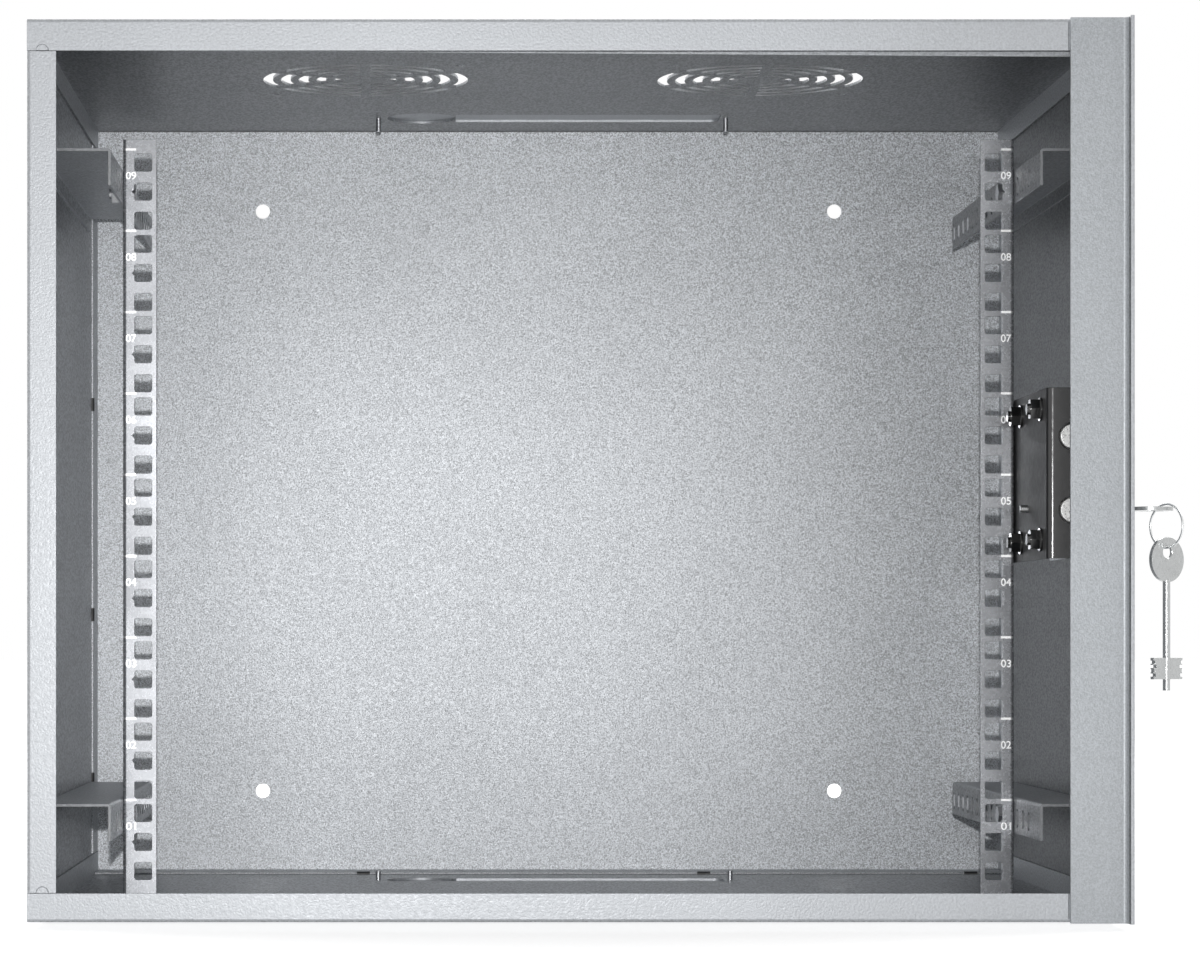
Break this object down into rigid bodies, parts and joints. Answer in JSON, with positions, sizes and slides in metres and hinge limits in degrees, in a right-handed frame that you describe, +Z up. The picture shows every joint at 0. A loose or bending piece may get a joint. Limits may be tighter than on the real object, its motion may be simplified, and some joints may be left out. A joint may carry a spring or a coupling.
{
  "type": "wall mount network cabinet",
  "caption": "Wall mount rack cabinet with square-hole rails, slotted brackets, fan grilles in the roof and a side lever lock with keys. The front panel is taken off.",
  "frame": {"origin": "centre of the four wall holes, on the outer face of the back panel", "axes": "+X to the right seen from the front, +Y from the front into the wall, +Z up"},
  "size_m": [0.612, 0.409, 0.4708],
  "materials": {
    "powder_coat": "light grey textured powder coat",
    "back_coat": "light grey textured powder coat",
    "stile_coat": "light grey textured powder coat",
    "rail_coat": "light grey textured powder coat",
    "weld": "dark weld bead",
    "zinc": "zinc plated",
    "lock_black": "gloss black lacquer",
    "black_steel": "black oxide",
    "bright_steel": "bright plated steel",
    "lever_brass": "stamped brass",
    "nickel": "nickel plated"
  },
  "bodies": {
    "enclosure": {"top_panel": "powder_coat", "bottom_panel": "powder_coat", "top_entry_cover": "powder_coat", "bottom_entry_cover": "powder_coat", "cable_cover_screws": "zinc", "left_side_panel": "powder_coat", "right_side_panel": "powder_coat", "back_panel": "back_coat", "back_seam_welds": "weld", "lock_stile": "stile_coat", "top_guide_lip": "powder_coat", "bottom_guide_lip": "powder_coat", "upper_left_bracket": "powder_coat", "upper_right_bracket": "powder_coat", "lower_left_bracket": "powder_coat", "lower_right_bracket": "powder_coat", "left_rack_rail": "rail_coat", "right_rack_rail": "rail_coat", "rail_bolts": "zinc", "rail_washers": "zinc", "rail_nuts": "zinc", "lock_cover": "lock_black", "lock_base_plate": "zinc", "lock_studs": "black_steel", "lock_spacers": "zinc", "lock_washers": "black_steel", "lock_nuts": "black_steel", "lock_guide_post": "bright_steel", "lever_pivot_pin": "bright_steel", "drum_housing": "zinc"},
    "drum": {"key_drum": "bright_steel"},
    "bolts": {"upper_deadbolt": "bright_steel", "lower_deadbolt": "bright_steel", "bolt_carriage": "zinc"},
    "levers": {"lock_levers": "lever_brass", "lever_springs": "bright_steel"},
    "turning_key": {"key": "nickel"},
    "ring": {"key_ring": "nickel"},
    "hanging_key": {"spare_key": "nickel"}
  },
  "joints": [
    {"name": "key_turn", "type": "hinge", "parent": "enclosure", "child": "drum", "pos_m": [0.28, -0.316, -0.0166], "axis": [1, 0, 0], "range_deg": [0, 360]},
    {"name": "key_withdraw", "type": "slide", "parent": "drum", "child": "turning_key", "axis": [1, 0, 0], "range_m": [0, 0.085]},
    {"name": "bolt_throw", "type": "slide", "parent": "enclosure", "child": "bolts", "axis": [0, -1, 0], "range_m": [0, 0.018]},
    {"name": "lever_lift", "type": "hinge", "parent": "enclosure", "child": "levers", "pos_m": [0.25, -0.264, 0.01], "axis": [-1, 0, 0], "range_deg": [0, 4], "stiffness_Nm_per_rad": 0.02, "springref_deg": -34.38},
    {"name": "ring_swing", "type": "hinge", "parent": "turning_key", "child": "ring", "pos_m": [0.31802, -0.32122, -0.0166], "axis": [0.5592, -0.829, 0], "range_deg": [-10, 20]},
    {"name": "spare_key_swing", "type": "hinge", "parent": "ring", "child": "hanging_key", "pos_m": [0.31802, -0.32122, -0.03757], "axis": [0.5592, -0.829, 0], "range_deg": [-8, 18]}
  ],
  "couplings": [
    {"joint": "bolt_throw", "follows": "key_turn", "m_per_rad": 0.0028648}
  ]
}
